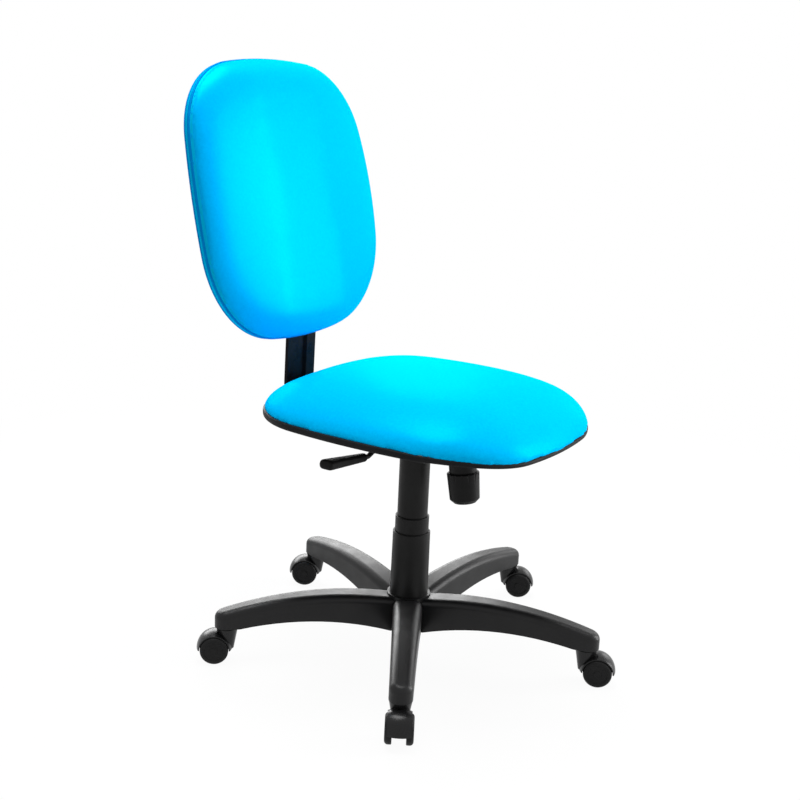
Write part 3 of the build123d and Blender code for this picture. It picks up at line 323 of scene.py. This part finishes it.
def outward(points):
    """The direction square to a closed outline at each of its points, pointing away from it."""
    normals = []
    for i in range(len(points)):
        run = points[(i + 2) % len(points)] - points[i - 2]
        normal = Vector((run.y, -run.x)).normalized()
        normals.append(normal)
    middle = sum(points, Vector((0, 0))) / len(points)
    inside_out = sum(n.dot(p - middle) for n, p in zip(normals, points)) < 0
    return [-n for n in normals] if inside_out else normals


def add_mesh(name, points, faces, material):
    """A new mesh piece with its faces turned outwards."""
    mesh = bpy.data.meshes.new(name)
    mesh.from_pydata(points, [], faces)
    shaped = bmesh.new()
    shaped.from_mesh(mesh)
    bmesh.ops.recalc_face_normals(shaped, faces=shaped.faces)
    shaped.to_mesh(mesh)
    shaped.free()
    mesh.polygons.foreach_set("use_smooth", [True] * len(mesh.polygons))
    mesh.materials.append(material)
    piece = bpy.data.objects.new(name, mesh)
    bpy.context.scene.collection.objects.link(piece)
    return piece


def swept(name, outline, profile, place, material):
    """A closed profile carried round an outline: the profile gives steps outwards and upwards."""
    normals, rows, count = outward(outline), len(profile), len(outline)
    points = [
        place(point + normal * out, rise)
        for point, normal in zip(outline, normals)
        for out, rise in profile
    ]
    faces = [
        (i * rows + j, i * rows + k, ((i + 1) % count) * rows + k, ((i + 1) % count) * rows + j)
        for i in range(count)
        for j, k in zip(range(rows), [*range(1, rows), 0])
    ]
    return add_mesh(name, points, faces, material)


board_top = 0.415
board_thickness = 0.009
board_bend_y = -0.150
board_bend_radius = 0.420


def on_seat(point, rise):
    """A place over the seat board, which bends down towards its front edge."""
    bend = min(point.y - board_bend_y, 0)
    drop = board_bend_radius - sqrt(board_bend_radius**2 - bend**2)
    return Vector((point.x, point.y, board_top - drop + rise))


seat_edge_points = 320
seat_edge = hull_outline("seat_board", Vector((1, 0, 0)), Vector((0, 1, 0)), seat_edge_points)
edging_bulge = 0.0034
edging_squareness = 0.45
edging_steps = 8
edging_lip = 0.010
edging_wall = 0.0008
edging_low, edging_high = -board_thickness - edging_wall, edging_wall
edging_profile = [(-edging_lip, edging_high - edging_wall), (-edging_lip, edging_high)]
for step in range(edging_steps + 1):
    turn = pi / 2 - pi * step / edging_steps
    out = edging_bulge * max(cos(turn), 0) ** edging_squareness
    rise = (edging_high + edging_low) / 2 + (edging_high - edging_low) / 2 * sin(turn)
    edging_profile.append((out, rise))
edging_profile += [(-edging_lip, edging_low), (-edging_lip, edging_low + edging_wall)]
edging_room = 0.0001
edging_profile += [(edging_room, edging_low + edging_wall), (edging_room, edging_high - edging_wall)]
edging_vinyl = moulded_plastic(
    "edging_vinyl", (0.008, 0.008, 0.009), (0.013, 0.013, 0.014),
    rough=0.60, polished=0.50, grain=0.0014, specular=0.08,
)
roll_start_y = -0.090
roll_run = 0.130
roll_drop = 0.0041


def roll(point):
    """How far the cover rolls down over the edging: nothing at the sides, most along the front."""
    return roll_drop * min(max((roll_start_y - point.y) / roll_run, 0), 1)


def on_edging(point, rise):
    """A place on the edging, whose upper edge dips where the cover rolls down over it."""
    return on_seat(point, rise - roll(point) * (rise - edging_low) / (edging_high - edging_low))


seat_edging = swept("seat_edging", seat_edge, edging_profile, on_edging, edging_vinyl)
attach(seat_edging, "seat")
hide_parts("seat_trim")


# Seat cushion: a moulded foam pad with a tight cover of fine woven polyester in bright cyan.
# The cover is pulled down over the edge and stapled under the edging, so the pad is drawn in
# at its foot, swells over the edging and rises to a full crown.
def woven_cloth(name, deep, bright, across, along, satin_share):
    """Fine plain weave with slubs in its threads and a soft satin sheen."""
    material, tree, shader, place = new_finish(name)
    thread_pitch, thread_height = 0.0011, 0.00012
    slub_pitch, thread_contrast, satin_roughness = 0.004, 0.10, 0.33
    heights = []
    for direction in (across, along):
        rows = tree.nodes.new("ShaderNodeVectorMath")
        rows.operation = "DOT_PRODUCT"
        rows.inputs[1].default_value = direction
        tree.links.new(place, rows.inputs[0])
        thread = tree.nodes.new("ShaderNodeMath")
        thread.operation = "MULTIPLY"
        thread.inputs[1].default_value = 2 * pi / thread_pitch
        tree.links.new(rows.outputs["Value"], thread.inputs[0])
        wave = tree.nodes.new("ShaderNodeMath")
        wave.operation = "SINE"
        tree.links.new(thread.outputs["Value"], wave.inputs[0])
        heights.append(wave.outputs["Value"])
    weave = tree.nodes.new("ShaderNodeMath")
    weave.operation = "MULTIPLY"
    tree.links.new(heights[0], weave.inputs[0])
    tree.links.new(heights[1], weave.inputs[1])
    slubs = cloudy(tree, place, slub_pitch, 6.0)
    shade = tree.nodes.new("ShaderNodeMath")
    shade.operation = "MULTIPLY_ADD"
    shade.inputs[1].default_value = thread_contrast
    tree.links.new(weave.outputs["Value"], shade.inputs[0])
    tree.links.new(slubs, shade.inputs[2])
    dyed = ramp(tree, shade.outputs["Value"], deep, bright, 0.25, 0.75)
    tree.links.new(dyed, shader.inputs["Base Color"])
    bumped(tree, shader, weave.outputs["Value"], thread_height, 0.5)
    shader.inputs["Roughness"].default_value = 0.9
    shader.inputs["Specular IOR Level"].default_value = 0.0
    satin = tree.nodes.new("ShaderNodeBsdfGlossy")
    satin.inputs["Color"].default_value = (0.0, 1.0, 1.0, 1)
    satin.inputs["Roughness"].default_value = satin_roughness
    woven = tree.nodes.new("ShaderNodeMixShader")
    woven.inputs["Fac"].default_value = satin_share
    tree.links.new(shader.outputs["BSDF"], woven.inputs[1])
    tree.links.new(satin.outputs["BSDF"], woven.inputs[2])
    tree.links.new(woven.outputs["Shader"], tree.nodes["Material Output"].inputs["Surface"])
    return material


def pad(name, outline, shape, place, material):
    """A closed pad: rings of its outline at each share of its size and each rise, then its flat foot."""
    middle = sum(outline, Vector((0, 0))) / len(outline)
    count = len(outline)
    points = [place(middle.lerp(point, share), rise) for share, rise in shape for point in outline]
    faces = []
    for low in range(0, (len(shape) - 1) * count, count):
        high = low + count
        for i in range(count):
            after = (i + 1) % count
            faces.append((low + i, low + after, high + after, high + i))
    for ring, rise in ((0, shape[0][1]), (len(shape) - 1, shape[-1][1])):
        points.append(place(middle, rise))
        hub = len(points) - 1
        faces += [(ring * count + i, ring * count + (i + 1) % count, hub) for i in range(count)]
    return add_mesh(name, points, faces, material)


def crowned(foot, swell, squareness, crown):
    """Shares and rises of a pad that is drawn in at its foot, swells and closes over its crown."""
    shape = [(0.25, 0), (0.5, 0), (0.75, 0), (0.9, 0), (foot, 0)]
    for degrees in (4, 10, 18, 26, 34, 42, 50, 57, 64, 70, 75, 79, 82, 84.5, 86.5, 88, 89):
        turn = radians(degrees)
        shape.append((swell * cos(turn) ** squareness, crown * sin(turn)))
    return shape


cover_voxel = 0.005
cover_pressure = 4
cover_moments = 20
cover_pulls = 60


def stuffed(piece, hold, swell_cap):
    """Blow the cover up a little over its foam and pull it smooth; hold is 1 where it is fixed."""
    remesh = piece.modifiers.new("even_cloth", "REMESH")
    remesh.mode = "VOXEL"
    remesh.voxel_size = cover_voxel
    smooth = piece.modifiers.new("pressed_smooth", "SMOOTH")
    smooth.factor, smooth.iterations = 0.5, 6
    bpy.context.view_layer.objects.active = piece
    for step in ("even_cloth", "pressed_smooth"):
        bpy.ops.object.modifier_apply(modifier=step)
    start = [v.co.copy() for v in piece.data.vertices]
    fixed = piece.vertex_groups.new(name="fixed")
    for index, co in enumerate(start):
        fixed.add([index], hold(co), "REPLACE")
    cloth = piece.modifiers.new("cover", "CLOTH")
    cloth.settings.quality = 6
    cloth.settings.mass = 0.3
    cloth.settings.tension_stiffness = 25
    cloth.settings.compression_stiffness = 25
    cloth.settings.bending_stiffness = 3
    cloth.settings.use_pressure = True
    cloth.settings.uniform_pressure_force = cover_pressure
    cloth.settings.vertex_group_mass = "fixed"
    cloth.settings.effector_weights.gravity = 0
    cloth.point_cache.frame_start, cloth.point_cache.frame_end = 1, cover_moments
    for moment in range(1, cover_moments + 1):
        bpy.context.scene.frame_set(moment)
    bpy.ops.object.modifier_apply(modifier="cover")
    bpy.context.scene.frame_set(1)
    piece.vertex_groups.clear()
    before = np.array(start)
    swell = np.array([v.co for v in piece.data.vertices]) - before
    moved = np.maximum(np.linalg.norm(swell, axis=1), 1e-9)
    swell *= np.minimum(swell_cap / moved, 1)[:, None]
    one, other = np.array([edge.vertices[:] for edge in piece.data.edges]).T
    neighbours = np.bincount(np.concatenate((one, other)), minlength=len(start))[:, None]
    free = np.array([1 - hold(co) for co in start])[:, None]
    for pull in range(cover_pulls):
        around = np.zeros_like(swell)
        np.add.at(around, one, swell[other])
        np.add.at(around, other, swell[one])
        swell = free * around / neighbours
    piece.data.vertices.foreach_set("co", (before + swell).ravel())
    piece.data.polygons.foreach_set("use_smooth", [True] * len(piece.data.polygons))
    piece.modifiers.new("finer", "SUBSURF").render_levels = 1


seat_crown = 0.0575
seat_foot = -0.003
seat_cloth = woven_cloth(
    "seat_cloth", (0.0, 0.44, 0.92), (0.0, 0.51, 0.98),
    across=(1, 0, 0), along=(0, 1, 0), satin_share=0.03,
)
seat_rings = crowned(foot=1.0, swell=1.011, squareness=0.52, crown=seat_crown)
seat_shape = [(share, rise + seat_foot) for share, rise in seat_rings]
roll_height = 0.016
roll_reach = 0.5


def on_pad(point, rise):
    """A place on the seat pad, whose foot rolls down and out over the front edge."""
    low = roll(point) * min(max(1 - (rise - seat_foot) / roll_height, 0), 1)
    return on_seat(point + point.normalized() * low * roll_reach, rise - low)


seat_pad = pad("seat_pad", seat_edge[::2], seat_shape, on_pad, seat_cloth)
seat_fixed = 0.003
seat_swell = 0.003
stuffed(seat_pad, lambda co: 1.0 if co.z < on_seat(co.xy, seat_fixed).z else 0.0, seat_swell)
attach(seat_pad, "seat")
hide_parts("seat_cushion")

# Back blade: a strip of spring steel with a rib pressed into it, bent up behind the seat and
# screwed to both boards. It is sprayed gloss black.
blade_paint = painted_steel(
    "blade_paint", (0.004, 0.0035, 0.005), (0.008, 0.0075, 0.009),
    rough=0.34, gloss=0.22, peel=0.0022, specular=0.05,
)
finish(blade_paint, "back_blade")

# Backrest: a curved plywood board upholstered on both faces. The front pad is crowned, the
# rear pad is thinner.
# A boxing strip with a piped seam at each side closes the edge.
back_lean = radians(12.96)
back_origin = Vector((0, 0.226, 0.5055))
back_height = 0.450
back_board_rear = 0.002
back_board_front = 0.012
lumbar_radius = 2.341
back_across = Vector((1, 0, 0))
back_up = Vector((0, sin(back_lean), cos(back_lean)))
back_forward = Vector((0, -cos(back_lean), sin(back_lean)))


def on_back(point, depth):
    """A place over the bowed back board, at a depth towards the sitter."""
    height = point.y - back_origin.dot(back_up)
    bow = sqrt(lumbar_radius**2 - (height - back_height / 2) ** 2) - lumbar_radius
    flat = back_across * point.x + back_up * height + back_forward * (bow + depth)
    return back_origin + flat


back_edge_points = 300
back_edge = hull_outline("back_board", back_across, back_up, back_edge_points)
# The back's cover is the seat's fabric in a darker blue: painted shade on the backrest.
back_cloth_painted_shade = woven_cloth(
    "back_cloth_painted_shade", (0.0, 0.38, 0.90), (0.0, 0.44, 0.96),
    across=(1, 0, 0), along=tuple(back_up), satin_share=0.055,
)
board_gap = 0.0004
front_foot = back_board_front + board_gap
front_shape = [(share, front_foot) for share in (0.25, 0.5, 0.75, 0.92)]
front_shape += [(0.935, 0.0056), (1.0, 0.0056)]
front_shape += [(1.011, 0.0066), (1.014, 0.0090), (1.012, 0.0126), (1.003, 0.0176), (0.987, 0.0232)]
front_shape += [(0.965, 0.0290), (0.94, 0.0334), (0.91, 0.0366), (0.87, 0.0388), (0.82, 0.0400)]
front_shape += [(0.74, 0.0407), (0.60, 0.0410), (0.42, 0.0411), (0.28, 0.0412), (0.12, 0.0412)]
panel_half_width = 0.075
panel_side_run = 0.145
side_thinning = 0.50


def on_front(point, depth):
    """A place on the front pad, which thins from its middle panel to both sides."""
    side = min(max((abs(point.x) - panel_half_width) / panel_side_run, 0), 1)
    above = max(depth - front_foot, 0)
    return on_back(point, depth - above * side_thinning * side)


back_front_pad = pad("back_front_pad", back_edge[::2], front_shape, on_front, back_cloth_painted_shade)
front_fixed = 0.002
front_swell = 0.0006


def front_hold(co):
    """Fixed at the foot of the front pad, free above it."""
    flat = Vector((co.dot(back_across), co.dot(back_up)))
    return 1.0 if (co - on_back(flat, back_board_front)).dot(back_forward) < front_fixed else 0.0


stuffed(back_front_pad, front_hold, front_swell)
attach(back_front_pad, "seat")
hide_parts("back_cushion")

rear_foot = back_board_rear - board_gap
rear_shape = [(share, rear_foot) for share in (0.25, 0.5, 0.75, 0.92)]
rear_shape += [(0.935, 0.0052), (1.0, 0.0052)]
rear_shape += [(1.006, 0.0040), (1.006, 0.0008), (1.000, -0.0022), (0.990, -0.0044), (0.975, -0.0070)]
rear_shape += [(0.955, -0.0098), (0.93, -0.0124), (0.89, -0.0149), (0.84, -0.0166), (0.77, -0.0178)]
rear_shape += [(0.68, -0.0186), (0.55, -0.0190), (0.42, -0.0192), (0.28, -0.0193), (0.12, -0.0193)]
back_rear_pad = pad("back_rear_pad", back_edge[::2], rear_shape, on_back, back_cloth_painted_shade)
rear_fixed = 0.004
rear_swell = 0.002


def rear_hold(co):
    """Fixed at the foot of the rear pad, free behind it."""
    flat = Vector((co.dot(back_across), co.dot(back_up)))
    return 1.0 if (co - on_back(flat, back_board_rear)).dot(back_forward) > -rear_fixed else 0.0


stuffed(back_rear_pad, rear_hold, rear_swell)
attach(back_rear_pad, "seat")
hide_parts("back_rear_cover")

boxing_cloth = woven_cloth(
    "boxing_cloth", (0.0, 0.42, 0.80), (0.0, 0.48, 0.86),
    across=(1, 0, 0), along=tuple(back_up), satin_share=0.05,
)
boxing_profile = [(0.0002, 0.0018), (-0.016, 0.0018), (-0.016, 0.0010), (0.0, -0.0022)]
boxing_profile += [(0.0024, -0.0018), (0.0030, 0.0), (0.0031, 0.002), (0.0028, 0.0042), (0.0016, 0.0052)]
boxing_profile += [(0.0016, 0.0128), (-0.010, 0.0128), (-0.010, 0.0122), (0.0002, 0.0122)]
back_boxing = swept("back_boxing", back_edge, boxing_profile, on_back, boxing_cloth)
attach(back_boxing, "seat")
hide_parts("back_trim")

piping_radius = 0.0021
piping_sides = 10
seam_cloth = woven_cloth(
    "seam_cloth", (0.0, 0.20, 0.62), (0.0, 0.26, 0.70),
    across=(1, 0, 0), along=tuple(back_up), satin_share=0.02,
)
for name, out, depth in (("back_piping_front", 0.0022, 0.0054), ("back_piping_rear", 0.0012, -0.0024)):
    turns = [2 * pi * i / piping_sides for i in range(piping_sides)]
    round_cord = [(out + piping_radius * cos(turn), depth + piping_radius * sin(turn)) for turn in turns]
    piping = swept(name, back_edge, round_cord, on_back, seam_cloth)
    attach(piping, "seat")

# Studio: a pale matt floor under a white surround, lit by four soft boxes.
# Floor and surround look white to the camera, and the floor keeps the chair's faint shadow.
white = (1.0, 1.0, 1.0, 1)


def shows_background(tree):
    """1 for the rays that see the background: from the camera, or off metal or glass."""
    path = tree.nodes.new("ShaderNodeLightPath")
    seen = path.outputs["Is Camera Ray"]
    for ray in ("Is Glossy Ray", "Is Transmission Ray"):
        either = tree.nodes.new("ShaderNodeMath")
        either.operation = "MAXIMUM"
        tree.links.new(seen, either.inputs[0])
        tree.links.new(path.outputs[ray], either.inputs[1])
        seen = either.outputs["Value"]
    return seen


floor_size = 30.0
bpy.ops.mesh.primitive_grid_add(x_subdivisions=4, y_subdivisions=4, size=floor_size)
floor = bpy.context.object
floor.name = "floor"
floor_paint = bpy.data.materials.new("floor_paint")
floor_paint.use_nodes = True
floor_tree = floor_paint.node_tree
floor_tree.nodes.clear()
matt = floor_tree.nodes.new("ShaderNodeBsdfDiffuse")
matt.inputs["Color"].default_value = (0.86, 0.86, 0.86, 1)
glow = floor_tree.nodes.new("ShaderNodeEmission")
glow.inputs["Color"].default_value = white
floor_place = floor_tree.nodes.new("ShaderNodeTexCoord").outputs["Object"]
away = floor_tree.nodes.new("ShaderNodeVectorMath")
away.operation = "LENGTH"
floor_tree.links.new(floor_place, away.inputs[0])
share = floor_tree.nodes.new("ShaderNodeMath")
share.operation = "MULTIPLY"
floor_tree.links.new(shows_background(floor_tree), share.inputs[0])
shadow_near, shadow_far = 0.3, 1.6
white_near, white_far = 0.95, 1.0
whiteness = spread(floor_tree, away.outputs["Value"], white_near, white_far, shadow_near, shadow_far)
floor_tree.links.new(whiteness, share.inputs[1])
mixed = floor_tree.nodes.new("ShaderNodeMixShader")
floor_tree.links.new(share.outputs["Value"], mixed.inputs["Fac"])
floor_tree.links.new(matt.outputs["BSDF"], mixed.inputs[1])
floor_tree.links.new(glow.outputs["Emission"], mixed.inputs[2])
floor_out = floor_tree.nodes.new("ShaderNodeOutputMaterial")
floor_tree.links.new(mixed.outputs["Shader"], floor_out.inputs["Surface"])
floor.data.materials.append(floor_paint)

surround = bpy.data.worlds.new("surround")
bpy.context.scene.world = surround
surround.use_nodes = True
sky = surround.node_tree
lit = sky.nodes["Background"]
lit.inputs["Color"].default_value = white
ambient = 0.34
sky_strength = sky.nodes.new("ShaderNodeMapRange")
sky_strength.inputs["To Min"].default_value = ambient
sky_strength.inputs["To Max"].default_value = 1.0
sky.links.new(shows_background(sky), sky_strength.inputs["Value"])
sky.links.new(sky_strength.outputs["Result"], lit.inputs["Strength"])


def soft_box(name, place, target, width, height, power):
    """A soft light of so many metres that faces a point."""
    light = bpy.data.lights.new(name, "AREA")
    light.shape = "RECTANGLE"
    light.size, light.size_y = width, height
    light.energy = power
    lamp = bpy.data.objects.new(name, light)
    lamp.location = place
    lamp.rotation_euler = (Vector(target) - Vector(place)).to_track_quat("-Z", "Y").to_euler()
    bpy.context.scene.collection.objects.link(lamp)


soft_box("key_light", (1.9, -1.9, 1.05), (0, 0.1, 0.72), width=0.8, height=1.9, power=61)
soft_box("top_light", (0.1, 0.3, 2.7), (0, 0, 0.3), width=1.4, height=1.4, power=59)
soft_box("right_light", (2.8, -0.2, 1.0), (0, 0, 0.2), width=1.0, height=1.0, power=8)
soft_box("rear_light", (1.7, 2.2, 1.1), (0, 0, 0.2), width=2.6, height=1.2, power=70)

# Camera: stands where the photograph was taken from, in front of the sitter's right side,
# and is turned a little about its own axis as the photograph is.
camera_place = Vector((-1.698949, -1.069260, 0.961845))
camera_right = Vector((0.56773, -0.82226, 0.03955))
camera_up = Vector((0.19086, 0.17821, 0.96530))
camera = bpy.data.objects.new("camera", bpy.data.cameras.new("camera"))
camera.data.sensor_width = 36.0
camera.data.lens = 58.24
camera.data.shift_x = 0.0275
camera_back = camera_right.cross(camera_up)
turned = Matrix((camera_right, camera_up, camera_back)).transposed().to_4x4()
camera.matrix_world = Matrix.Translation(camera_place) @ turned
bpy.context.scene.collection.objects.link(camera)
bpy.context.scene.camera = camera
bpy.context.scene.view_settings.view_transform = "Standard"
